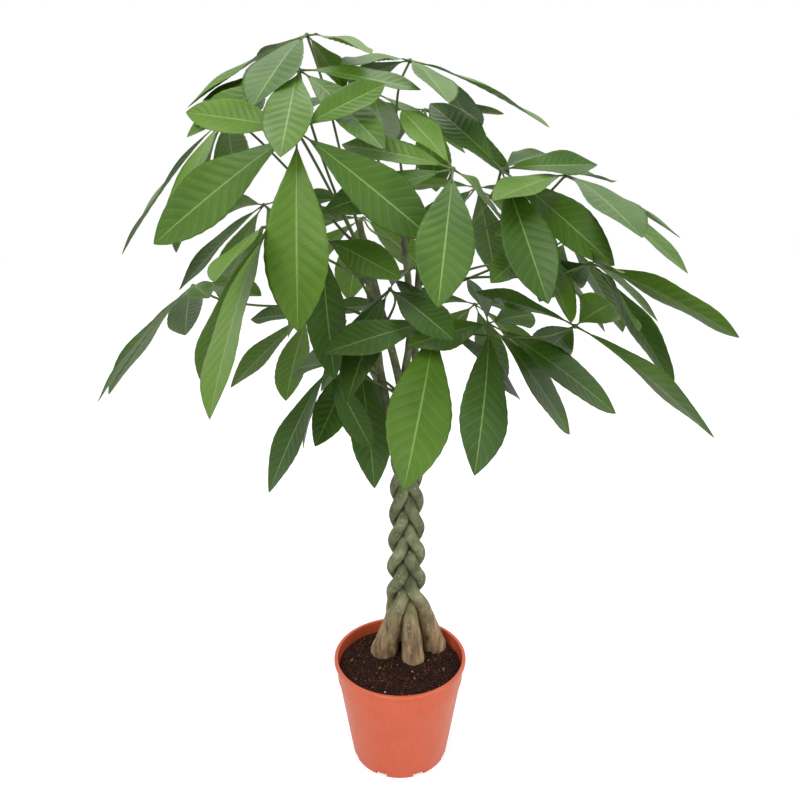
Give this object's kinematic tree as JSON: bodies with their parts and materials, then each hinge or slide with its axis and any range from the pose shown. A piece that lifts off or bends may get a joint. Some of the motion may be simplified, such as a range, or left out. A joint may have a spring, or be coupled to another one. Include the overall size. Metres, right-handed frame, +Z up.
{
  "type": "potted money tree",
  "caption": "Potted money tree with a braided trunk, a round crown of glossy hand-shaped leaves and a terracotta-coloured plastic grower's pot.",
  "frame": {"origin": "centre of the pot's underside, on the surface it stands on", "axes": "+Z up along the trunk, -Y towards the front, the fuller side of the crown"},
  "size_m": [0.6288, 0.6199, 0.8677],
  "materials": {
    "pot": "semi-gloss moulded terracotta-orange",
    "soil": "damp, crumbly potting soil",
    "bark": "grey-green bark with pale pores",
    "leaf": "glossy green leaf"
  },
  "bodies": {
    "root": {"leaf_01": "leaf", "leaf_02": "leaf", "leaf_03": "leaf", "leaf_04": "leaf", "leaf_05": "leaf", "leaf_06": "leaf", "leaf_07": "leaf", "leaf_08": "leaf", "leaf_09": "leaf", "leaf_10": "leaf", "leaf_11": "leaf", "leaf_12": "leaf", "leaf_13": "leaf", "leaf_14": "leaf", "leaf_15": "leaf", "leaf_16": "leaf", "leaf_17": "leaf", "leaf_18": "leaf", "leaf_19": "leaf", "leaf_20": "leaf", "leaf_21": "leaf", "leaf_22": "leaf", "leaf_23": "leaf", "leaf_24": "leaf", "leaf_25": "leaf", "leaf_26": "leaf", "leaf_27": "leaf", "pot": "pot", "soil": "soil", "stem_1": "bark", "stem_2": "bark", "stem_3": "bark", "stem_4": "bark", "stem_5": "bark"}
  },
  "joints": []
}
